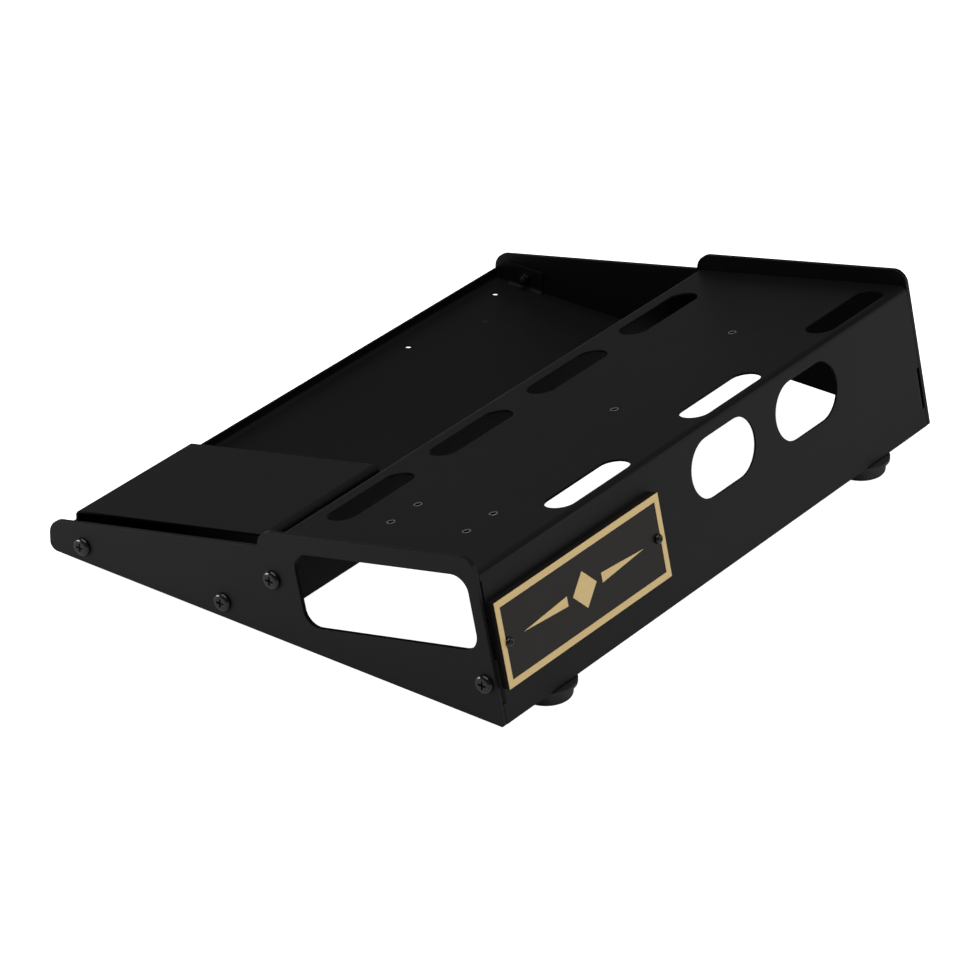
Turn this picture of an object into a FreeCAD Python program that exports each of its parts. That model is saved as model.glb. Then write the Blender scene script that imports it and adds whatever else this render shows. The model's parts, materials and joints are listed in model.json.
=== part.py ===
import FreeCAD, Part
import math
import os

import Sketcher

# A two-tier wedge pedalboard.  Two flat end plates carry two folded sheets, the low tray and the raised
# deck with its rear panel.  A loose bent riser stands in the tray.
#
# Every body is drawn in one working frame: X along the board, Y from the front edge to the rear edge,
# Z up from the underside of the tray.  Each body's Placement then moves it to the final frame,
# whose origin is the middle of the whole footprint, rear feet included, at floor level.

doc = FreeCAD.newDocument("pedalboard")
sizes = doc.addObject("Spreadsheet::Sheet", "Sizes")

DRIVING_SIZES = {
    # whole board
    "width": 508.0,
    "depth": 381.0,
    "slope": 12.85,
    "deck_front_height": 20.9,
    "foot_height": 13.7,
    # sheet metal
    "plate_thickness": 3.175,
    "sheet_thickness": 1.6,
    "bend_radius": 2.8,
    "end_clearance": 0.5,
    "tab_clearance": 0.05,
    # end plate
    "plate_drop": 1.7,
    "rim_height": 11.4,
    "step_depth": 181.0,
    "plate_corner": 12.7,
    "rear_top_corner": 10.0,
    "front_bottom_corner": 6.0,
    "rear_bottom_corner": 1.6,
    "step_root_corner": 1.2,
    "window_length": 144.0,
    "window_height": 52.8,
    "window_corner": 12.0,
    "window_run": 286.6,
    "window_drop": 28.0,
    # end tabs and the holes that screw them to the end plates
    "tab_width": 30.0,
    "tab_length": 18.0,
    "tab_relief": 0.2,
    "end_hole": 5.4,
    "tray_tab_front": 29.3,
    "tray_tab_rear": 150.8,
    "tray_hole_height": 10.1,
    "wall_tab_height": 41.7,
    "wall_hole_setback": 10.9,
    "rear_tab_height": 28.4,
    "rear_hole_setback": 9.1,
    # tray
    "lip_setback": 0.6,
    "lip_height": 9.5,
    "tray_rear": 182.1,
    "riser_hole": 5.0,
    "riser_station": 174.6,
    "riser_hole_reach": 53.1,
    "riser_hole_front": 17.2,
    "riser_hole_rear": 163.2,
    # deck and rear panel
    "wall_front": 182.2,
    "wall_foot": 3.3,
    "panel_drop": 0.77,
    "slot_length": 81.3,
    "slot_width": 22.4,
    "front_slot_run": 210.6,
    "front_slot_first": -167.3,
    "front_slot_pitch": 110.6,
    "front_slot_count": 4,
    "rear_slot_run": 349.8,
    "rear_slot_first": -197.45,
    "rear_slot_pitch": 153.4,
    "rear_slot_count": 3,
    "bay_hole": 4.4,
    "bay_hole_centre": 182.0,
    "bay_hole_reach": 14.5,
    "bay_hole_front": 253.0,
    "bay_hole_rear": 316.0,
    "supply_hole_first": -5.0,
    "supply_hole_second": -146.5,
    "supply_hole_run": 289.0,
    "port_length": 74.9,
    "port_width": 42.7,
    "port_first": -15.1,
    "port_second": -115.6,
    "port_height": 72.8,
    "end_gap": 1.8,
    "end_gap_top": 99.0,
    # riser
    "riser_width": 119.0,
    "riser_rest": 177.0,
    "riser_front": 8.6,
    "riser_rear": 176.0,
    "riser_foot_gap": 0.05,
    # nameplate on the rear panel
    "badge_length": 180.0,
    "badge_width": 60.0,
    "badge_thickness": 5.6,
    "badge_border": 4.8,
    "badge_inlay": 0.3,
    "badge_centre": 157.8,
    "badge_height": 53.2,
    "badge_hole_reach": 82.4,
    "badge_hole": 3.1,
    # feet
    "foot_spread": 187.2,
    "foot_front": 38.0,
    "foot_rear": 365.2,
    "foot_boss_radius": 13.5,
    "foot_boss_height": 1.9,
    "foot_collar_radius": 21.2,
    "foot_collar_height": 2.4,
    "foot_body_radius": 18.8,
    "foot_bottom_radius": 18.4,
    "foot_edge": 2.0,
    "foot_recess_radius": 7.0,
    "foot_recess_depth": 8.5,
    "foot_bore": 5.4,
    "foot_thread": 5.0,
    "bracket_width": 50.0,
    "bracket_depth": 45.0,
    "bracket_height": 25.0,
    "bracket_gap": 0.02,
    "washer_diameter": 13.0,
    "washer_thickness": 1.2,
    # screws and nuts; the head's rounding is a part of its height, its recess a part of its diameter
    "head_rounding": 0.85,
    "recess_span": 0.46,
    "recess_width": 0.11,
    "nut_clearance": 0.1,
    "end_screw_head": 13.6,
    "end_screw_head_height": 3.2,
    "end_screw_shank": 5.0,
    "end_screw_length": 9.6,
    "end_nut_flats": 8.0,
    "end_nut_height": 3.2,
    "badge_screw_head": 6.9,
    "badge_screw_head_height": 2.4,
    "badge_screw_shank": 3.0,
    "badge_screw_length": 8.6,
    "foot_screw_head": 9.4,
    "foot_screw_head_height": 3.0,
    "foot_screw_shank": 4.9,
    "foot_screw_length": 7.9,
}

for row, (alias, size) in enumerate(DRIVING_SIZES.items(), start=1):
    sizes.set("A%d" % row, alias.replace("_", " "))
    sizes.set("B%d" % row, str(size))
    sizes.setAlias("B%d" % row, alias)
doc.recompute()


# Expressions that several sub-parts share.

OUTER_BEND = "(Sizes.bend_radius + Sizes.sheet_thickness)"
INNER_FACE = "(Sizes.width / 2 - Sizes.plate_thickness)"
SHEET_END = "(%s - Sizes.end_clearance)" % INNER_FACE
TAB_FACE = "(%s - Sizes.tab_clearance)" % INNER_FACE
TAB_ROOT = "(%s - %s)" % (TAB_FACE, OUTER_BEND)

# Lengths of cuts, centred on a sketch's plane, that go right through with room to spare.
THROUGH_SHEET = "Sizes.sheet_thickness * 4"
THROUGH_PLATE = "Sizes.plate_thickness * 4"
THROUGH_BADGE = "Sizes.badge_thickness * 4"
THROUGH_NUT = "Sizes.end_nut_height * 4"
SMALLEST_CUT_VOLUME = 0.1


def deck_height(y):
    """Height of the deck surface at a distance y from the front edge."""
    return "(Sizes.deck_front_height + (%s) * tan(Sizes.slope))" % y


def rear_corner(rise):
    """Where the leaning rear face meets a line that runs parallel to the deck, rise above it."""
    height = "((%s + %s) * cos(Sizes.slope) ^ 2)" % (deck_height("Sizes.depth"), rise)
    return "(Sizes.depth - %s * tan(Sizes.slope))" % height, height


# The panel's height and the deck's run are measured along the sheets, to the sharp corner between them.
DECK_REAR, DECK_REAR_HEIGHT = rear_corner("0")
PANEL_HEIGHT = "(%s / cos(Sizes.slope))" % DECK_REAR_HEIGHT
DECK_RUN = "(%s / cos(Sizes.slope))" % DECK_REAR

# Centre of each kind of end screw, as (Y, Z).
END_SCREWS = {
    "tray_front": ("Sizes.tray_tab_front", "Sizes.tray_hole_height"),
    "tray_rear": ("Sizes.tray_tab_rear", "Sizes.tray_hole_height"),
    "wall": ("Sizes.wall_front + Sizes.wall_hole_setback", "Sizes.wall_tab_height"),
    "rear": ("Sizes.depth - Sizes.rear_hole_setback * cos(Sizes.slope)"
             " - Sizes.rear_tab_height * sin(Sizes.slope)",
             "Sizes.rear_tab_height * cos(Sizes.slope) - Sizes.rear_hole_setback * sin(Sizes.slope)"),
}

FEET = {
    "foot_front_right": ("Sizes.foot_spread", "Sizes.foot_front"),
    "foot_front_left": ("-Sizes.foot_spread", "Sizes.foot_front"),
    "foot_rear_right": ("Sizes.foot_spread", "Sizes.foot_rear"),
    "foot_rear_left": ("-Sizes.foot_spread", "Sizes.foot_rear"),
}


def number(expression):
    """The present value of an expression, in millimetres or degrees."""
    value = sizes.evalExpression(expression)
    return float(getattr(value, "Value", value))


# Sketches.

def new_body(label):
    """A body whose Placement carries the working frame to the final frame."""
    body = doc.addObject("PartDesign::Body", label)
    body.Label = label
    to_final_frame(body)
    return body


def to_final_frame(item):
    item.setExpression("Placement.Base.y", "-(Sizes.foot_rear + Sizes.foot_collar_radius) / 2")
    item.setExpression("Placement.Base.z", "Sizes.foot_height")


def new_sketch(body, name, role, base=("0", "0", "0"), axis=(1, 0, 0), angle="0"):
    """A sketch on an origin plane, moved by base and turned about axis, both in the plane's own frame."""
    sketch = body.newObject("Sketcher::SketchObject", name)
    plane = next(part for part in body.Origin.OriginFeatures if part.Role == role)
    sketch.AttachmentSupport = [(plane, "")]
    sketch.MapMode = "FlatFace"
    shift = FreeCAD.Vector(*[number(part) for part in base])
    turn = FreeCAD.Rotation(FreeCAD.Vector(*axis), number(angle))
    sketch.AttachmentOffset = FreeCAD.Placement(shift, turn)
    for letter, expression in zip("xyz", base):
        sketch.setExpression("AttachmentOffset.Base." + letter, expression)
    sketch.setExpression("AttachmentOffset.Rotation.Angle", angle)
    return sketch


def deck_sketch(body, name, depth="0"):
    """A sketch parallel to the deck, depth below it: x along the board, y up the slope."""
    base = ("0", "%s * sin(Sizes.slope)" % depth,
            "Sizes.deck_front_height - %s * cos(Sizes.slope)" % depth)
    return new_sketch(body, name, "XY_Plane", base, (1, 0, 0), "Sizes.slope")


def panel_sketch(body, name, proud="0"):
    """A sketch parallel to the rear panel, proud of it: x along the board, y up from the bottom corner."""
    base = ("0", "%s * sin(Sizes.slope)" % proud, "-Sizes.depth - %s * cos(Sizes.slope)" % proud)
    return new_sketch(body, name, "XZ_Plane", base, (1, 0, 0), "Sizes.slope")


def bind(sketch, kind, targets, expression):
    """Add one dimension to a sketch and tie it to an expression."""
    index = sketch.addConstraint(Sketcher.Constraint(kind, *targets, number(expression)))
    sketch.setExpression("Constraints[%d]" % index, expression)


def pin_point(sketch, element, point, x, y):
    """Fix one point of a sketch at the expressions x and y."""
    for kind, expression, axis in (("DistanceX", x, -2), ("DistanceY", y, -1)):
        if expression == "0":
            sketch.addConstraint(Sketcher.Constraint("PointOnObject", element, point, axis))
        else:
            bind(sketch, kind, (-1, 1, element, point), expression)


def flat_point(x, y):
    return FreeCAD.Vector(x, y, 0)


def corner_arc(before, corner, after, radius):
    """The arc that rounds the corner of a path, between the points where it touches the two sides."""
    to_start = (before - corner).normalize()
    to_end = (after - corner).normalize()
    half_angle = to_start.getAngle(to_end) / 2
    bisector = (to_start + to_end).normalize()
    start = corner + to_start * (radius / math.tan(half_angle))
    middle = corner + bisector * (radius / math.sin(half_angle) - radius)
    end = corner + to_end * (radius / math.tan(half_angle))
    return start, Part.Arc(start, middle, end), end


def draw_path(sketch, points, radii, closed):
    """Draw lines from point to point, with a tangent arc wherever a radius is given.

    Returns the list of lines, and the arcs by the number of their corner.
    """
    count = len(points)
    bends = {}
    for i, radius in enumerate(radii):
        if radius is not None:
            bends[i] = corner_arc(points[i - 1], points[i], points[(i + 1) % count], number(radius))
    lines = []
    for i in range(count if closed else count - 1):
        j = (i + 1) % count
        start = bends[i][2] if i in bends else points[i]
        end = bends[j][0] if j in bends else points[j]
        lines.append(sketch.addGeometry(Part.LineSegment(start, end), False))
    arcs = {}
    for i, (start, arc, end) in bends.items():
        arcs[i] = sketch.addGeometry(arc, False)
        first_point = sketch.getPoint(arcs[i], 1)
        first = 1 if (first_point - start).Length < (first_point - end).Length else 2
        sketch.addConstraint(Sketcher.Constraint("Tangent", lines[i - 1], 2, arcs[i], first))
        sketch.addConstraint(Sketcher.Constraint("Tangent", arcs[i], 3 - first, lines[i], 1))
        bind(sketch, "Radius", (arcs[i],), radii[i])
    return lines, arcs


def rounded_path(sketch, corners, radii, closed=True):
    """Draw a path through corners, which are pairs of expressions, and fix every corner in its place.

    A rounded corner keeps a construction point at its sharp position, where its two lines would meet.
    """
    points = [flat_point(number(x), number(y)) for x, y in corners]
    lines, arcs = draw_path(sketch, points, radii, closed)
    for i, (x, y) in enumerate(corners):
        line_in = lines[i - 1] if closed or i > 0 else None
        line_out = lines[i] if i < len(lines) else None
        if i in arcs:
            sharp = sketch.addGeometry(Part.Point(points[i]), True)
            sketch.addConstraint(Sketcher.Constraint("PointOnObject", sharp, 1, line_in))
            sketch.addConstraint(Sketcher.Constraint("PointOnObject", sharp, 1, line_out))
            pin_point(sketch, sharp, 1, x, y)
        elif line_in is None:
            pin_point(sketch, line_out, 1, x, y)
        else:
            if line_out is not None:
                sketch.addConstraint(Sketcher.Constraint("Coincident", line_in, 2, line_out, 1))
            pin_point(sketch, line_in, 2, x, y)
    return lines, arcs


def offset_path(points, distance):
    """An open path moved sideways by distance, to its left when positive, with sharp corners."""
    normals = []
    for start, end in zip(points, points[1:]):
        along = (end - start).normalize()
        normals.append(flat_point(-along.y, along.x))
    moved = [points[0] + normals[0] * distance]
    for i in range(1, len(points) - 1):
        both = normals[i - 1] + normals[i]
        moved.append(points[i] + both * (2 * distance / both.Length ** 2))
    moved.append(points[-1] + normals[-1] * distance)
    return moved


def sheet_section(sketch, corners):
    """The closed section of a folded sheet, from the corners of its outer face.

    All the folds go the same way, and the sheet's thickness lies on their inner side.
    """
    inner_corners = len(corners) - 2
    outer_radii = [None] + [OUTER_BEND] * inner_corners + [None]
    outer_lines, outer_arcs = rounded_path(sketch, corners, outer_radii, closed=False)
    points = [flat_point(number(x), number(y)) for x, y in corners]
    first, second = points[1] - points[0], points[2] - points[1]
    side = 1 if first.x * second.y > first.y * second.x else -1
    inner_points = offset_path(points, side * number("Sizes.sheet_thickness"))
    inner_radii = [None] + ["Sizes.bend_radius"] * inner_corners + [None]
    inner_lines, inner_arcs = draw_path(sketch, inner_points, inner_radii, closed=False)
    for i, arc in inner_arcs.items():
        sketch.addConstraint(Sketcher.Constraint("Coincident", arc, 3, outer_arcs[i], 3))
    for outer, end, inner in ((outer_lines[0], 1, inner_lines[0]), (outer_lines[-1], 2, inner_lines[-1])):
        cut_edge = Part.LineSegment(sketch.getPoint(outer, end), sketch.getPoint(inner, end))
        cap = sketch.addGeometry(cut_edge, False)
        sketch.addConstraint(Sketcher.Constraint("Coincident", cap, 1, outer, end))
        sketch.addConstraint(Sketcher.Constraint("Coincident", cap, 2, inner, end))
        sketch.addConstraint(Sketcher.Constraint("Perpendicular", cap, outer))
        sketch.addConstraint(Sketcher.Constraint("Parallel", inner, outer))


def rectangle(sketch, low_x, low_y, high_x, high_y, radii=(None, None, None, None)):
    """A rectangle; its radii go anticlockwise from the low corner."""
    corners = [(low_x, low_y), (high_x, low_y), (high_x, high_y), (low_x, high_y)]
    rounded_path(sketch, corners, list(radii))


def centred_rectangle(sketch, x, y, length, height, radius=None):
    half_length = "(%s) / 2" % length
    half_height = "(%s) / 2" % height
    rectangle(sketch, "%s - %s" % (x, half_length), "%s - %s" % (y, half_height),
              "%s + %s" % (x, half_length), "%s + %s" % (y, half_height), [radius] * 4)


def circle(sketch, x, y, diameter):
    centre = flat_point(number(x), number(y))
    index = sketch.addGeometry(Part.Circle(centre, FreeCAD.Vector(0, 0, 1), number(diameter) / 2), False)
    pin_point(sketch, index, 3, x, y)
    bind(sketch, "Diameter", (index,), diameter)


def slot(sketch, x, y, length, width):
    """An obround along x, given by its centre, its overall length and its width."""
    reach = "(%s - %s) / 2" % (length, width)
    left_x = "%s - %s" % (x, reach)
    right_x = "%s + %s" % (x, reach)
    left = flat_point(number(left_x), number(y))
    right = flat_point(number(right_x), number(y))
    up = flat_point(0, number(width) / 2)
    out = flat_point(number(width) / 2, 0)
    right_arc = sketch.addGeometry(Part.Arc(right - up, right + out, right + up), False)
    top = sketch.addGeometry(Part.LineSegment(right + up, left + up), False)
    left_arc = sketch.addGeometry(Part.Arc(left + up, left - out, left - up), False)
    bottom = sketch.addGeometry(Part.LineSegment(left - up, right - up), False)
    ring = (right_arc, top, left_arc, bottom)
    for i, element in enumerate(ring):
        sketch.addConstraint(Sketcher.Constraint("Tangent", element, 2, ring[(i + 1) % 4], 1))
    sketch.addConstraint(Sketcher.Constraint("Equal", right_arc, left_arc))
    pin_point(sketch, right_arc, 3, right_x, y)
    pin_point(sketch, left_arc, 3, left_x, y)
    bind(sketch, "Radius", (right_arc,), "%s / 2" % width)


# Features.

def pad(body, sketch, length, symmetric=False, reverse=False):
    """Extrude a sketch.  A symmetric pad has half its length on each side of the sketch."""
    feature = body.newObject("PartDesign::Pad", sketch.Name + "_pad")
    feature.Profile = sketch
    feature.SideType = "Symmetric" if symmetric else "One side"
    feature.Reversed = reverse
    feature.setExpression("Length", length)
    doc.recompute()


def pocket(body, sketch, length):
    """Cut a sketch into the body, half the length on each side, and make sure that something was cut."""
    before = body.Shape.Volume
    feature = body.newObject("PartDesign::Pocket", sketch.Name + "_cut")
    feature.Profile = sketch
    feature.SideType = "Symmetric"
    feature.setExpression("Length", length)
    doc.recompute()
    if before - body.Shape.Volume < SMALLEST_CUT_VOLUME:
        raise RuntimeError("nothing was cut by " + feature.Name)


def turned(body, sketch):
    """Turn a half section about the sketch's own vertical axis."""
    feature = body.newObject("PartDesign::Revolution", sketch.Name + "_turned")
    feature.Profile = sketch
    feature.ReferenceAxis = (sketch, ["V_Axis"])
    feature.Angle = 360
    doc.recompute()


# End plates.

def build_end_plate(label, outer_side, has_window):
    """A flat plate with a low front part and a raised rim round the deck."""
    body = new_body(label)
    face = INNER_FACE if outer_side > 0 else "-Sizes.width / 2"
    rim = "(Sizes.rim_height / cos(Sizes.slope))"
    outline = new_sketch(body, label + "_outline", "YZ_Plane", ("0", "0", face))
    corners = [
        ("0", "-Sizes.plate_drop"),
        ("Sizes.depth + Sizes.plate_drop * tan(Sizes.slope)", "-Sizes.plate_drop"),
        rear_corner(rim),
        ("Sizes.step_depth", "%s + %s" % (deck_height("Sizes.step_depth"), rim)),
        ("Sizes.step_depth", deck_height("Sizes.step_depth")),
        ("0", "Sizes.deck_front_height"),
    ]
    radii = ["Sizes.front_bottom_corner", "Sizes.rear_bottom_corner", "Sizes.rear_top_corner",
             "Sizes.plate_corner", "Sizes.step_root_corner", "Sizes.plate_corner"]
    rounded_path(outline, corners, radii)
    pad(body, outline, "Sizes.plate_thickness")

    if has_window:
        cut_window(body, face)

    holes = new_sketch(body, label + "_holes", "YZ_Plane", ("0", "0", face))
    for y, z in END_SCREWS.values():
        circle(holes, y, z, "Sizes.end_hole")
    pocket(body, holes, THROUGH_PLATE)
    return body


def cut_window(body, face):
    """One large window, square to the deck, so its sketch is turned by the slope in the plate's plane."""
    window = new_sketch(body, "window", "YZ_Plane", ("0", "Sizes.deck_front_height", face),
                        (0, 0, 1), "Sizes.slope")
    centred_rectangle(window, "Sizes.window_run", "-Sizes.window_drop", "Sizes.window_length",
                      "Sizes.window_height", "Sizes.window_corner")
    pocket(body, window, THROUGH_PLATE)


# Tray.

def end_tab_sections(sketch, face, tip):
    """Sections of the two end tabs that fold out of a sheet, from its outer face at y = face to y = tip."""
    for sign in ("", "-"):
        inboard = "%s(%s - 2 * %s)" % (sign, TAB_ROOT, OUTER_BEND)
        outboard = sign + TAB_FACE
        sheet_section(sketch, [(inboard, face), (outboard, face), (outboard, tip)])


def relief_pair(sketch, low, high):
    """Cut-outs at both ends of a sheet, from the root of the tabs' bends outward."""
    rectangle(sketch, TAB_ROOT, low, "Sizes.width / 2", high)
    rectangle(sketch, "-Sizes.width / 2", low, "-" + TAB_ROOT, high)


def build_tray():
    """The low tier: a sheet with a turned-up edge front and rear and two upturned tabs at each end."""
    body = new_body("tray")
    section = new_sketch(body, "tray_section", "YZ_Plane")
    sheet_section(section, [("Sizes.lip_setback", "Sizes.lip_height"), ("Sizes.lip_setback", "0"),
                            ("Sizes.tray_rear", "0"), ("Sizes.tray_rear", "Sizes.lip_height")])
    pad(body, section, "2 * " + SHEET_END, symmetric=True)

    relief = new_sketch(body, "tray_relief", "XY_Plane")
    half = "(Sizes.tab_width / 2 + Sizes.tab_relief)"
    for station in ("Sizes.tray_tab_front", "Sizes.tray_tab_rear"):
        relief_pair(relief, "%s - %s" % (station, half), "%s + %s" % (station, half))
    pocket(body, relief, THROUGH_SHEET)

    # The XZ plane looks towards the front, so its third axis counts backwards.
    for name, station in (("front", "Sizes.tray_tab_front"), ("rear", "Sizes.tray_tab_rear")):
        tabs = new_sketch(body, "tray_tabs_" + name, "XZ_Plane", ("0", "0", "-" + station))
        end_tab_sections(tabs, "0", "Sizes.tab_length")
        pad(body, tabs, "Sizes.tab_width", symmetric=True)

    tab_holes = new_sketch(body, "tray_tab_holes", "YZ_Plane")
    for name in ("tray_front", "tray_rear"):
        circle(tab_holes, *END_SCREWS[name], "Sizes.end_hole")
    pocket(body, tab_holes, "Sizes.width")

    holes = new_sketch(body, "tray_holes", "XY_Plane")
    for station in ("Sizes.riser_station", "-Sizes.riser_station"):
        riser_holes(holes, station)
    for x in ("Sizes.foot_spread", "-Sizes.foot_spread"):
        circle(holes, x, "Sizes.foot_front", "Sizes.foot_thread")
    pocket(body, holes, THROUGH_SHEET)
    return body


def riser_holes(sketch, centre):
    """The four screw holes that the riser and the tray share."""
    for sign in ("-", "+"):
        for y in ("Sizes.riser_hole_front", "Sizes.riser_hole_rear"):
            circle(sketch, "%s %s Sizes.riser_hole_reach" % (centre, sign), y, "Sizes.riser_hole")


# Deck panel.

def build_deck_panel():
    """Front wall, sloping deck and leaning rear panel, folded from one sheet."""
    body = new_body("deck_panel")
    section = new_sketch(body, "deck_section", "YZ_Plane")
    panel_bottom = ("Sizes.depth + Sizes.panel_drop * sin(Sizes.slope)",
                    "-Sizes.panel_drop * cos(Sizes.slope)")
    sheet_section(section, [("Sizes.wall_front", "Sizes.wall_foot"),
                            ("Sizes.wall_front", deck_height("Sizes.wall_front")),
                            (DECK_REAR, DECK_REAR_HEIGHT), panel_bottom])
    pad(body, section, "2 * " + SHEET_END, symmetric=True)
    cut_deck_openings(body)
    cut_panel_openings(body)
    add_wall_tabs(body)
    add_rear_tabs(body)
    tab_holes = new_sketch(body, "deck_tab_holes", "YZ_Plane")
    for name in ("wall", "rear"):
        circle(tab_holes, *END_SCREWS[name], "Sizes.end_hole")
    pocket(body, tab_holes, "Sizes.width")
    return body


def cut_deck_openings(body):
    """Two rows of cable slots, and small mounting holes between them."""
    slots = deck_sketch(body, "deck_slots")
    for row_name in ("front", "rear"):
        for i in range(int(number("Sizes.%s_slot_count" % row_name))):
            x = "Sizes.%s_slot_first + %d * Sizes.%s_slot_pitch" % (row_name, i, row_name)
            slot(slots, x, "Sizes.%s_slot_run" % row_name, "Sizes.slot_length", "Sizes.slot_width")
    pocket(body, slots, THROUGH_SHEET)

    holes = deck_sketch(body, "deck_holes")
    for sign in ("-", "+"):
        for run in ("Sizes.bay_hole_front", "Sizes.bay_hole_rear"):
            circle(holes, "Sizes.bay_hole_centre %s Sizes.bay_hole_reach" % sign, run, "Sizes.bay_hole")
    for x in ("Sizes.supply_hole_first", "Sizes.supply_hole_second"):
        circle(holes, x, "Sizes.supply_hole_run", "Sizes.bay_hole")
    pocket(body, holes, THROUGH_SHEET)


def cut_panel_openings(body):
    """Two large ports, the nameplate's screw holes, room for the end tabs and a gap above the right one."""
    openings = panel_sketch(body, "panel_openings")
    for x in ("Sizes.port_first", "Sizes.port_second"):
        slot(openings, x, "Sizes.port_height", "Sizes.port_length", "Sizes.port_width")
    badge_holes(openings)
    pocket(body, openings, THROUGH_SHEET)
    ends = panel_sketch(body, "panel_ends")
    half = "(Sizes.tab_width / 2 + Sizes.tab_relief)"
    relief_pair(ends, "Sizes.rear_tab_height - " + half, "Sizes.rear_tab_height + " + half)
    pocket(body, ends, THROUGH_SHEET)
    gap = panel_sketch(body, "panel_gap")
    rectangle(gap, "%s - Sizes.end_gap" % INNER_FACE, "Sizes.rear_tab_height + " + half,
              "Sizes.width / 2", "Sizes.end_gap_top")
    pocket(body, gap, THROUGH_SHEET)


def add_wall_tabs(body):
    """Tabs bent rearwards from both ends of the front wall."""
    relief = new_sketch(body, "wall_relief", "XZ_Plane", ("0", "0", "-Sizes.wall_front"))
    half = "(Sizes.tab_width / 2 + Sizes.tab_relief)"
    relief_pair(relief, "Sizes.wall_tab_height - " + half, "Sizes.wall_tab_height + " + half)
    pocket(body, relief, THROUGH_SHEET)
    tabs = new_sketch(body, "wall_tabs", "XY_Plane", ("0", "0", "Sizes.wall_tab_height"))
    end_tab_sections(tabs, "Sizes.wall_front", "Sizes.wall_front + Sizes.tab_length")
    pad(body, tabs, "Sizes.tab_width", symmetric=True)


def add_rear_tabs(body):
    """Tabs bent forwards from both ends of the rear panel, square to its lean."""
    tabs = deck_sketch(body, "rear_tabs", "(%s - Sizes.rear_tab_height)" % PANEL_HEIGHT)
    end_tab_sections(tabs, DECK_RUN, DECK_RUN + " - Sizes.tab_length")
    pad(body, tabs, "Sizes.tab_width", symmetric=True)


def build_foot_bracket_pattern(label):
    """An angle that lies against the inside of the rear panel, at the middle of the board."""
    body = doc.addObject("PartDesign::Body", label)
    heel = "Sizes.depth - (Sizes.sheet_thickness + Sizes.bracket_gap) / cos(Sizes.slope)"
    section = new_sketch(body, label + "_section", "YZ_Plane")
    sheet_section(section, [(heel + " - Sizes.bracket_height * sin(Sizes.slope)",
                             "Sizes.bracket_height * cos(Sizes.slope)"),
                            (heel, "0"), (heel + " - Sizes.bracket_depth", "0")])
    pad(body, section, "Sizes.bracket_width", symmetric=True)
    hole = new_sketch(body, label + "_hole", "XY_Plane")
    circle(hole, "0", "Sizes.foot_rear", "Sizes.foot_thread")
    pocket(body, hole, THROUGH_SHEET)
    return body


def build_foot_brackets(bracket):
    """The two angles at the bottom of the rear panel that carry the rear feet."""
    stations = ("Sizes.foot_spread", "-Sizes.foot_spread")
    links = [place(bracket, (x, "0", "0"), (0, 0, 1), "0") for x in stations]
    return build_set("rear_foot_brackets", links)


# Riser.

def build_riser():
    """A loose bridge bent from one strip, level with the deck, standing on two in-turned feet."""
    body = new_body("riser")
    floor = "Sizes.sheet_thickness + Sizes.riser_foot_gap"
    section = new_sketch(body, "riser_section", "YZ_Plane", ("0", "0", "Sizes.riser_rest"))
    sheet_section(section, [("Sizes.riser_front + Sizes.tab_length", floor),
                            ("Sizes.riser_front", floor),
                            ("Sizes.riser_front", deck_height("Sizes.riser_front")),
                            ("Sizes.riser_rear", deck_height("Sizes.riser_rear")),
                            ("Sizes.riser_rear", floor),
                            ("Sizes.riser_rear - Sizes.tab_length", floor)])
    pad(body, section, "Sizes.riser_width", symmetric=True)
    holes = new_sketch(body, "riser_holes", "XY_Plane", ("0", "0", floor))
    riser_holes(holes, "Sizes.riser_rest")
    pocket(body, holes, THROUGH_SHEET)
    return body


# Nameplate.

def badge_holes(sketch):
    for sign in ("-", "+"):
        circle(sketch, "Sizes.badge_centre %s Sizes.badge_hole_reach" % sign, "Sizes.badge_height",
               "Sizes.badge_hole")


def build_nameplate():
    """A thick dark plate screwed to the rear panel."""
    body = new_body("nameplate")
    outline = panel_sketch(body, "nameplate_outline")
    centred_rectangle(outline, "Sizes.badge_centre", "Sizes.badge_height", "Sizes.badge_length",
                      "Sizes.badge_width")
    pad(body, outline, "Sizes.badge_thickness - Sizes.badge_inlay", reverse=True)
    holes = panel_sketch(body, "nameplate_holes")
    badge_holes(holes)
    pocket(body, holes, THROUGH_BADGE)
    return body


def build_nameplate_border():
    """A thin metal border round the nameplate's face."""
    body = new_body("nameplate_border")
    ring = panel_sketch(body, "border_ring", "(Sizes.badge_thickness - Sizes.badge_inlay)")
    for inset in ("0", "2 * Sizes.badge_border"):
        centred_rectangle(ring, "Sizes.badge_centre", "Sizes.badge_height",
                          "Sizes.badge_length - " + inset, "Sizes.badge_width - " + inset)
    pad(body, ring, "Sizes.badge_inlay", reverse=True)
    return body


# Feet.

def build_foot(label, x, y):
    """A rubber foot: a boss on top, a wide collar, a tapered body, and a recess and a bore for its screw.

    The boss keeps the collar clear of the lower edges of the end plates and the rear panel.
    """
    body = new_body(label)
    half = new_sketch(body, label + "_half", "XZ_Plane", (x, "0", "-" + y))
    recess_top = "Sizes.foot_recess_depth - Sizes.foot_height"
    collar_top = "-Sizes.foot_boss_height"
    collar_bottom = "-(Sizes.foot_boss_height + Sizes.foot_collar_height)"
    corners = [
        ("Sizes.foot_bore / 2", "0"),
        ("Sizes.foot_bore / 2", recess_top),
        ("Sizes.foot_recess_radius", recess_top),
        ("Sizes.foot_recess_radius", "-Sizes.foot_height"),
        ("Sizes.foot_bottom_radius", "-Sizes.foot_height"),
        ("Sizes.foot_body_radius", collar_bottom),
        ("Sizes.foot_collar_radius", collar_bottom),
        ("Sizes.foot_collar_radius", collar_top),
        ("Sizes.foot_boss_radius", collar_top),
        ("Sizes.foot_boss_radius", "0"),
    ]
    rounded_path(half, corners, [None] * 4 + ["Sizes.foot_edge"] + [None] * 5)
    turned(body, half)
    return body


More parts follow.
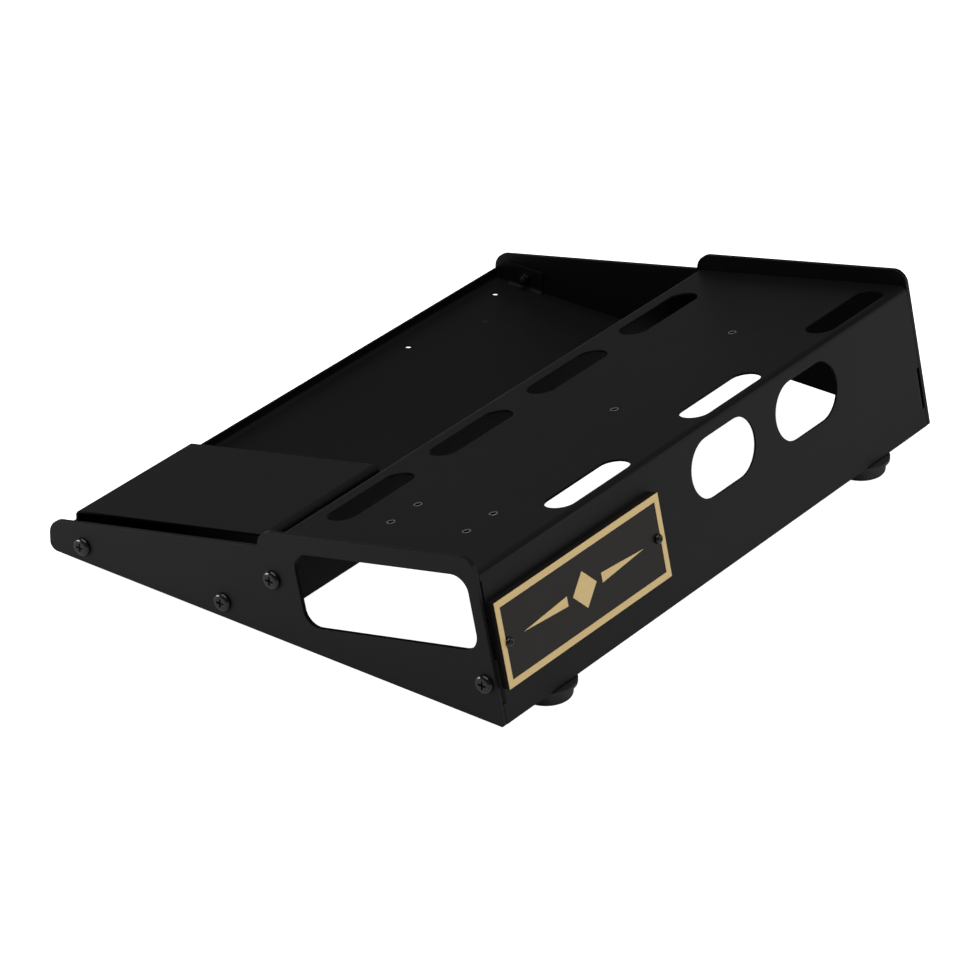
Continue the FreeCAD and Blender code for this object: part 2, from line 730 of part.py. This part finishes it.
# Fasteners.  One body is the pattern for each kind, and every set is a compound of links to its pattern.

def build_screw_pattern(label, kind):
    """A cross-recess pan-head screw on the Z axis, head up, with the underside of its head at the origin."""
    body = doc.addObject("PartDesign::Body", label)
    head_radius = "Sizes.%s_head / 2" % kind
    head_height = "Sizes.%s_head_height" % kind
    shank_radius = "Sizes.%s_shank / 2" % kind
    tip = "-Sizes.%s_length" % kind
    half = new_sketch(body, label + "_half", "XZ_Plane")
    corners = [("0", tip), (shank_radius, tip), (shank_radius, "0"), (head_radius, "0"),
               (head_radius, head_height), ("0", head_height)]
    rounded_path(half, corners, [None, None, None, None, head_height + " * Sizes.head_rounding", None])
    turned(body, half)
    for direction, angle in (("across", "0"), ("along", "90")):
        blade = new_sketch(body, "%s_%s" % (label, direction), "XY_Plane", ("0", "0", head_height),
                           (0, 0, 1), angle)
        centred_rectangle(blade, "0", "0", "Sizes.%s_head * Sizes.recess_span" % kind,
                          "Sizes.%s_head * Sizes.recess_width" % kind)
        pocket(body, blade, head_height)
    return body


def build_nut_pattern(label):
    """A hexagon nut on the Z axis, standing on the origin."""
    body = doc.addObject("PartDesign::Body", label)
    outline = new_sketch(body, label + "_outline", "XY_Plane")
    corners = []
    for angle in range(0, 360, 60):
        corners.append(("Sizes.end_nut_flats / sqrt(3) * cos(%d)" % angle,
                        "Sizes.end_nut_flats / sqrt(3) * sin(%d)" % angle))
    rounded_path(outline, corners, [None] * 6)
    pad(body, outline, "Sizes.end_nut_height")
    hole = new_sketch(body, label + "_hole", "XY_Plane")
    circle(hole, "0", "0", "Sizes.end_screw_shank + Sizes.nut_clearance")
    pocket(body, hole, THROUGH_NUT)
    return body


def build_washer_pattern(label):
    """A flat washer on the Z axis, standing on the origin."""
    body = doc.addObject("PartDesign::Body", label)
    outline = new_sketch(body, label + "_outline", "XY_Plane")
    circle(outline, "0", "0", "Sizes.washer_diameter")
    circle(outline, "0", "0", "Sizes.foot_bore")
    pad(body, outline, "Sizes.washer_thickness")
    return body


def place(pattern, position, axis, angle):
    """A link to a pattern at a point of the working frame, its Z axis turned by angle about axis."""
    link = doc.addObject("App::Link", pattern.Name + "_copy")
    link.LinkedObject = pattern
    turn = FreeCAD.Rotation(FreeCAD.Vector(*axis), number(angle))
    link.Placement = FreeCAD.Placement(FreeCAD.Vector(*[number(part) for part in position]), turn)
    for letter, expression in zip("xyz", position):
        link.setExpression("Placement.Base." + letter, expression)
    link.setExpression("Placement.Rotation.Angle", angle)
    return link


def build_set(label, links):
    """A set of equal separate pieces that is one sub-part."""
    group = doc.addObject("Part::Compound", label)
    group.Label = label
    group.Links = links
    to_final_frame(group)
    return group


def build_end_fasteners(screw, nut):
    """Screws from outside each end plate, each with a nut against its tab inside."""
    sets = []
    nut_face = "(%s - Sizes.sheet_thickness)" % TAB_FACE
    for group, names in (("tray", ("tray_front", "tray_rear")), ("wall", ("wall",)), ("rear", ("rear",))):
        screws = []
        nuts = []
        for name in names:
            y, z = END_SCREWS[name]
            for sign, outward, inward in (("", "90", "-90"), ("-", "-90", "90")):
                screws.append(place(screw, (sign + "Sizes.width / 2", y, z), (0, 1, 0), outward))
                nuts.append(place(nut, (sign + nut_face, y, z), (0, 1, 0), inward))
        sets.append(build_set(group + "_screws", screws))
        sets.append(build_set(group + "_nuts", nuts))
    return sets


def build_nameplate_screws(screw):
    """The two small screws through the nameplate into the rear panel, square to it."""
    y = ("Sizes.depth - Sizes.badge_height * sin(Sizes.slope)"
         " + Sizes.badge_thickness * cos(Sizes.slope)")
    z = "Sizes.badge_height * cos(Sizes.slope) + Sizes.badge_thickness * sin(Sizes.slope)"
    links = []
    for sign in ("-", "+"):
        x = "Sizes.badge_centre %s Sizes.badge_hole_reach" % sign
        links.append(place(screw, (x, y, z), (1, 0, 0), "Sizes.slope - 90"))
    return build_set("nameplate_screws", links)


def build_foot_fasteners(screw, washer):
    """A washer at the top of each foot's recess and a screw up into the sheet."""
    seat = "Sizes.foot_recess_depth - Sizes.foot_height - Sizes.washer_thickness"
    screws = [place(screw, (x, y, seat), (1, 0, 0), "180") for x, y in FEET.values()]
    washers = [place(washer, (x, y, seat), (1, 0, 0), "0") for x, y in FEET.values()]
    return [build_set("foot_screws", screws), build_set("foot_washers", washers)]


parts = [
    build_end_plate("end_plate_right", 1, has_window=True),
    build_end_plate("end_plate_left", -1, has_window=False),
    build_tray(),
    build_deck_panel(),
    build_riser(),
    build_nameplate(),
    build_nameplate_border(),
    build_foot_brackets(build_foot_bracket_pattern("foot_bracket_pattern")),
]
for foot_label, (foot_x, foot_y) in FEET.items():
    parts.append(build_foot(foot_label, foot_x, foot_y))
parts += build_end_fasteners(build_screw_pattern("end_screw_pattern", "end_screw"),
                             build_nut_pattern("end_nut_pattern"))
parts.append(build_nameplate_screws(build_screw_pattern("badge_screw_pattern", "badge_screw")))
parts += build_foot_fasteners(build_screw_pattern("foot_screw_pattern", "foot_screw"),
                              build_washer_pattern("washer_pattern"))
doc.recompute()

for item in doc.Objects:
    if "Invalid" in item.State or "Error" in item.State:
        raise RuntimeError("%s failed: %s" % (item.Label, item.State))
for part in parts:
    if part.Shape.isNull() or not part.Shape.isValid():
        raise RuntimeError(part.Label + " has no valid shape")

os.makedirs("parts", exist_ok=True)
for part in parts:
    part.Shape.exportStep(os.path.join("parts", part.Label + ".step"))
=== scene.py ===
import json
import math

import bpy
from mathutils import Matrix, Vector


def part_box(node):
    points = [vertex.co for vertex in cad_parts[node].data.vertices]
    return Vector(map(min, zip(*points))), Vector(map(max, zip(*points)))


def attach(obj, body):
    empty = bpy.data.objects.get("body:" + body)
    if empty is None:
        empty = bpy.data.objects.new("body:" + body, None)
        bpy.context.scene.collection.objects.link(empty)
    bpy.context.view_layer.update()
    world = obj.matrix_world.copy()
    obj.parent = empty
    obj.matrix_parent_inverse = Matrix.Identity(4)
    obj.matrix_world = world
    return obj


# A black powder-coated pedalboard with a gold-bordered nameplate, on a pale floor in soft studio light.
# Lengths are in metres and the frame is the CAD's: X along the board, Y to its high rear edge, Z up.

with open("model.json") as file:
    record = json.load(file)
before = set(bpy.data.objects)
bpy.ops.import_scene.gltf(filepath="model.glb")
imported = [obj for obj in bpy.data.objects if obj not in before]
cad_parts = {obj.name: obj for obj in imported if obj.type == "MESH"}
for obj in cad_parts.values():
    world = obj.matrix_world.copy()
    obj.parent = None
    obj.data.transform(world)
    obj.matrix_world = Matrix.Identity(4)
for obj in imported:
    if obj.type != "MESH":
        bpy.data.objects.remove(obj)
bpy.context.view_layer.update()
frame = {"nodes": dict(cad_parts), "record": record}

SLOPE = math.radians(12.85)
DECK_UP = Vector((0.0, -math.sin(SLOPE), math.cos(SLOPE)))
PANEL_OUT = Vector((0.0, math.cos(SLOPE), math.sin(SLOPE)))

EDGE_ROUNDING = 0.0004
ORNAMENT_THICKNESS = 0.0003
RIM_WIDTH = 0.0008
RIM_THICKNESS = 0.0001
RIM_SEGMENTS = 32

CAMERA_PLACE = (2.3967, 1.7598, 1.6689)
CAMERA_AZIMUTH = math.radians(126.47)
CAMERA_ELEVATION = math.radians(29.174)
CAMERA_ROLL = math.radians(0.272)
CAMERA_LENS = 180.73
SENSOR_WIDTH = 36.0


# Materials.

class Nodes:
    """A small helper that builds one node material."""

    def __init__(self, name):
        self.material = bpy.data.materials.new(name)
        self.material.use_nodes = True
        self.tree = self.material.node_tree
        self.shader = self.tree.nodes["Principled BSDF"]
        self.place = self.add("ShaderNodeTexCoord").outputs["Object"]

    def add(self, kind, **values):
        """A new node; each value sets the input of that name, underscores standing for spaces."""
        node = self.tree.nodes.new(kind)
        for name, value in values.items():
            self.feed(value, node.inputs[name.replace("_", " ")])
        return node

    def feed(self, value, socket):
        """Link an output to a socket, or set the socket's value."""
        if isinstance(value, bpy.types.NodeSocket):
            self.tree.links.new(value, socket)
        else:
            socket.default_value = value

    def surface(self, **values):
        for name, value in values.items():
            self.feed(value, self.shader.inputs[name.replace("_", " ")])

    def noise(self, scale, detail=4.0, stretch=(1.0, 1.0, 1.0)):
        """Noise between 0 and 1; scale is in features per metre."""
        stretched = self.add("ShaderNodeMapping", Vector=self.place, Scale=stretch)
        return self.add("ShaderNodeTexNoise", Vector=stretched.outputs[0], Scale=scale,
                        Detail=detail).outputs[0]

    def between(self, factor, low, high):
        """A value that goes from low to high as the factor goes from 0.3 to 0.7."""
        spread = self.add("ShaderNodeMapRange", Value=factor, From_Min=0.3, From_Max=0.7,
                          To_Min=low, To_Max=high)
        return spread.outputs[0]

    def tint(self, factor, dark, light):
        """A colour that goes from dark to light with the factor."""
        mix = self.tree.nodes.new("ShaderNodeMix")
        mix.data_type = "RGBA"
        colour_inputs = [socket for socket in mix.inputs if socket.type == "RGBA"]
        self.feed(factor, mix.inputs[0])
        colour_inputs[0].default_value = (*dark, 1.0)
        colour_inputs[1].default_value = (*light, 1.0)
        return next(socket for socket in mix.outputs if socket.type == "RGBA")

    def relief(self, height, depth, rounding=0.0):
        """A normal with bumps of the given depth, over edges rounded by the given radius."""
        bump = self.add("ShaderNodeBump", Height=height, Strength=1.0, Distance=depth)
        if rounding:
            edge = self.add("ShaderNodeBevel", Radius=rounding)
            edge.samples = 6
            self.feed(edge.outputs[0], bump.inputs["Normal"])
        return bump.outputs[0]


def powder_coat():
    """Fine-grained black powder coat."""
    nodes = Nodes("powder_coat_black")
    grain = nodes.noise(1900.0, 3.0)
    cloud = nodes.noise(9.0, 5.0)
    nodes.surface(Base_Color=nodes.tint(cloud, (0.0036, 0.0036, 0.0038), (0.0052, 0.0052, 0.0054)),
                  Roughness=nodes.between(cloud, 0.40, 0.47), Specular_IOR_Level=0.16,
                  Normal=nodes.relief(grain, 0.00003, EDGE_ROUNDING))
    return nodes.material


def gold_metal():
    """Brushed gold-coloured metal, its brush lines along the plate."""
    nodes = Nodes("gold_brushed")
    lines = nodes.noise(420.0, 5.0, (0.05, 1.0, 1.0))
    nodes.surface(Base_Color=nodes.tint(lines, (0.90, 0.63, 0.27), (1.0, 0.76, 0.36)),
                  Metallic=0.2, Roughness=nodes.between(lines, 0.36, 0.50),
                  Normal=nodes.relief(lines, 0.00002, 0.0002))
    return nodes.material


def dark_enamel():
    """Dark warm enamel, slightly uneven."""
    nodes = Nodes("enamel_dark")
    cloud = nodes.noise(60.0, 4.0)
    nodes.surface(Base_Color=nodes.tint(cloud, (0.0092, 0.0074, 0.0062), (0.0132, 0.0106, 0.0088)),
                  Roughness=nodes.between(cloud, 0.34, 0.42), Specular_IOR_Level=0.22,
                  Normal=nodes.relief(nodes.noise(300.0), 0.00002))
    return nodes.material


def rubber():
    """Matt black rubber."""
    nodes = Nodes("rubber_black")
    grain = nodes.noise(1200.0, 4.0)
    nodes.surface(Base_Color=nodes.tint(grain, (0.006, 0.006, 0.006), (0.012, 0.012, 0.012)),
                  Roughness=nodes.between(grain, 0.55, 0.70),
                  Normal=nodes.relief(grain, 0.00004))
    return nodes.material


def black_screw():
    """Glossy black-plated steel."""
    nodes = Nodes("screw_black")
    cloud = nodes.noise(700.0, 3.0)
    nodes.surface(Base_Color=nodes.tint(cloud, (0.003, 0.003, 0.003), (0.005, 0.005, 0.005)),
                  Roughness=nodes.between(cloud, 0.12, 0.22), Specular_IOR_Level=0.45,
                  Normal=nodes.relief(cloud, 0.00001, 0.00025))
    return nodes.material


def zinc():
    """Dull zinc-plated steel."""
    nodes = Nodes("zinc_plated")
    cloud = nodes.noise(500.0, 5.0)
    nodes.surface(Base_Color=nodes.tint(cloud, (0.42, 0.42, 0.40), (0.60, 0.60, 0.57)),
                  Metallic=1.0, Roughness=nodes.between(cloud, 0.32, 0.48),
                  Normal=nodes.relief(cloud, 0.00001, 0.0002))
    return nodes.material


def pale_floor():
    """Plain matt floor, almost white.  It glows softly, and more to the eye, so its shadows stay faint."""
    nodes = Nodes("floor_pale")
    cloud = nodes.noise(3.0, 2.0)
    seen = nodes.add("ShaderNodeLightPath").outputs["Is Camera Ray"]
    glow = nodes.add("ShaderNodeMapRange", Value=seen, To_Min=0.05, To_Max=1.0).outputs[0]
    nodes.surface(Base_Color=nodes.tint(cloud, (0.90, 0.90, 0.90), (0.92, 0.92, 0.92)), Roughness=0.8,
                  Emission_Color=(1.0, 1.0, 1.0, 1.0), Emission_Strength=glow)
    return nodes.material


FINISHES = {
    "powder_coat": powder_coat(),
    "gold_metal": gold_metal(),
    "dark_enamel": dark_enamel(),
    "rubber": rubber(),
    "black_steel": black_screw(),
    "zinc": zinc(),
}


def finish_nodes():
    """Give every CAD node the finish that its material slot names."""
    for entry in frame["record"]["subparts"]:
        node = frame["nodes"][entry["node"]]
        node.data.materials.clear()
        node.data.materials.append(FINISHES[entry["material_slot"]])


# Bare rims of the deck's small holes.

def hole_rims():
    """A thin ring of bare metal round each small hole, placed by the record's bore mounts."""
    for mount in frame["record"]["mounts"]:
        if mount["kind"] == "bore":
            hole_rim("rim_" + mount["name"], mount)


def hole_rim(name, mount):
    """A flat ring on the deck's surface; the mount itself is at mid-thickness of the sheet."""
    hole_radius = mount["dims"]["r_mm"] / 1000
    half_sheet = mount["dims"]["length_mm"] / 1000 / 2
    up = Vector(mount["axis"])
    along = Vector((1.0, 0.0, 0.0))
    across = up.cross(along)
    deck_point = Vector(mount["pos_m"]) + up * half_sheet
    vertices = []
    for lift in (0.0, RIM_THICKNESS):
        for radius in (hole_radius, hole_radius + RIM_WIDTH):
            for i in range(RIM_SEGMENTS):
                turn = 2 * math.pi * i / RIM_SEGMENTS
                ray = along * math.cos(turn) + across * math.sin(turn)
                vertices.append(deck_point + ray * radius + up * lift)
    inner_low, outer_low, inner_high, outer_high = range(0, 4 * RIM_SEGMENTS, RIM_SEGMENTS)
    faces = []
    for i in range(RIM_SEGMENTS):
        j = (i + 1) % RIM_SEGMENTS
        faces.append((inner_high + i, outer_high + i, outer_high + j, inner_high + j))
        faces.append((outer_low + i, outer_low + j, outer_high + j, outer_high + i))
        faces.append((inner_low + j, inner_low + i, inner_high + i, inner_high + j))
        faces.append((outer_low + i, inner_low + i, inner_low + j, outer_low + j))
    add_piece(name, vertices, faces, "zinc")


def add_piece(name, vertices, faces, finish):
    """A visual piece that belongs to the frame."""
    mesh = bpy.data.meshes.new(name)
    mesh.from_pydata(vertices, [], faces)
    mesh.update()
    mesh.materials.append(FINISHES[finish])
    piece = bpy.data.objects.new(name, mesh)
    bpy.context.scene.collection.objects.link(piece)
    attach(piece, "frame")


# The nameplate's plain ornament.

def flat_prism(name, outline, centre):
    """A thin plate on the nameplate's face, from an outline in the face's own directions."""
    along = Vector((-1.0, 0.0, 0.0))
    vertices = []
    for lift in (0.0, ORNAMENT_THICKNESS):
        for x, y in outline:
            vertices.append(centre + along * x + DECK_UP * y + PANEL_OUT * lift)
    count = len(outline)
    faces = [tuple(range(count))[::-1], tuple(range(count, 2 * count))]
    for i in range(count):
        j = (i + 1) % count
        faces.append((i, j, count + j, count + i))
    add_piece(name, vertices, faces, "gold_metal")


def ornament():
    """A diamond between two tapered bars, raised a little from the nameplate's face."""
    low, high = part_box("nameplate")
    middle = (low + high) / 2
    face = max(PANEL_OUT.dot(vertex.co) for vertex in frame["nodes"]["nameplate"].data.vertices)
    centre = middle + PANEL_OUT * (face - PANEL_OUT.dot(middle))
    diamond = 0.013
    flat_prism("ornament_diamond", [(diamond, 0), (0, diamond), (-diamond, 0), (0, -diamond)], centre)
    bar_start, bar_end, bar_half = 0.019, 0.066, 0.0035
    for name, side in (("ornament_bar_right", -1), ("ornament_bar_left", 1)):
        outline = [(side * bar_start, -bar_half), (side * bar_end, 0.0), (side * bar_start, bar_half)]
        flat_prism(name, outline[::side], centre)


# Stage, light and camera.

def build_floor():
    """A wide floor at the height of the feet's undersides."""
    half = 6.0
    mesh = bpy.data.meshes.new("floor")
    mesh.from_pydata([(-half, -half, 0), (half, -half, 0), (half, half, 0), (-half, half, 0)], [],
                     [(0, 1, 2, 3)])
    floor = bpy.data.objects.new("floor", mesh)
    bpy.context.scene.collection.objects.link(floor)
    mesh.materials.append(pale_floor())


def soft_light(name, place, target, size, power):
    """A square area light that faces a target."""
    lamp = bpy.data.lights.new(name, "AREA")
    lamp.shape = "SQUARE"
    lamp.size = size
    lamp.energy = power
    light = bpy.data.objects.new(name, lamp)
    bpy.context.scene.collection.objects.link(light)
    light.location = place
    light.rotation_mode = "QUATERNION"
    light.rotation_quaternion = (Vector(target) - Vector(place)).to_track_quat("-Z", "Y")
    return light


def build_lights():
    """A large lamp overhead and two weak fills, one for the right-hand side and one for the rear."""
    board = (0.0, 0.0, 0.05)
    soft_light("overhead", (0.3, 0.0, 2.6), board, 2.6, 54.0)
    front_fill = soft_light("front_fill", (0.8, -0.8, 0.14), board, 0.4, 8.0)
    soft_light("rear_fill", (-1.0, 1.3, 0.5), board, 0.6, 2.8)
    light_only(front_fill, ("end_plate_right", "tray_screws", "wall_screws", "rear_screws"))


def light_only(light, names):
    """Keep a light off everything but the named nodes, as a studio flag would."""
    receivers = bpy.data.collections.new(light.name + "_receivers")
    for name in names:
        receivers.objects.link(frame["nodes"][name])
    light.light_linking.receiver_collection = receivers


def build_world():
    """Faint even light from all round.  The camera itself sees a white backdrop."""
    world = bpy.data.worlds.new("studio")
    world.use_nodes = True
    nodes, links = world.node_tree.nodes, world.node_tree.links
    strength = nodes.new("ShaderNodeMapRange")
    strength.inputs["To Min"].default_value = 0.12
    strength.inputs["To Max"].default_value = 1.0
    links.new(nodes.new("ShaderNodeLightPath").outputs["Is Camera Ray"], strength.inputs["Value"])
    background = nodes["Background"]
    background.inputs["Color"].default_value = (1.0, 1.0, 1.0, 1.0)
    links.new(strength.outputs[0], background.inputs["Strength"])
    bpy.context.scene.world = world


def build_camera():
    """A long lens, far off, behind the board's right-hand rear corner."""
    back = Vector((math.sin(CAMERA_AZIMUTH) * math.cos(CAMERA_ELEVATION),
                   -math.cos(CAMERA_AZIMUTH) * math.cos(CAMERA_ELEVATION),
                   math.sin(CAMERA_ELEVATION)))
    right = Vector((math.cos(CAMERA_AZIMUTH), math.sin(CAMERA_AZIMUTH), 0.0))
    up = back.cross(right)
    turned_right = right * math.cos(CAMERA_ROLL) + up * math.sin(CAMERA_ROLL)
    turned_up = up * math.cos(CAMERA_ROLL) - right * math.sin(CAMERA_ROLL)
    camera = bpy.data.objects.new("camera", bpy.data.cameras.new("camera"))
    camera.data.sensor_width = SENSOR_WIDTH
    camera.data.lens = CAMERA_LENS
    camera.data.clip_end = 50.0
    axes = Matrix((turned_right, turned_up, back)).transposed()
    camera.matrix_world = Matrix.Translation(CAMERA_PLACE) @ axes.to_4x4()
    bpy.context.scene.collection.objects.link(camera)
    bpy.context.scene.camera = camera


finish_nodes()
hole_rims()
ornament()
build_floor()
build_lights()
build_world()
build_camera()
bpy.context.scene.view_settings.view_transform = "Standard"
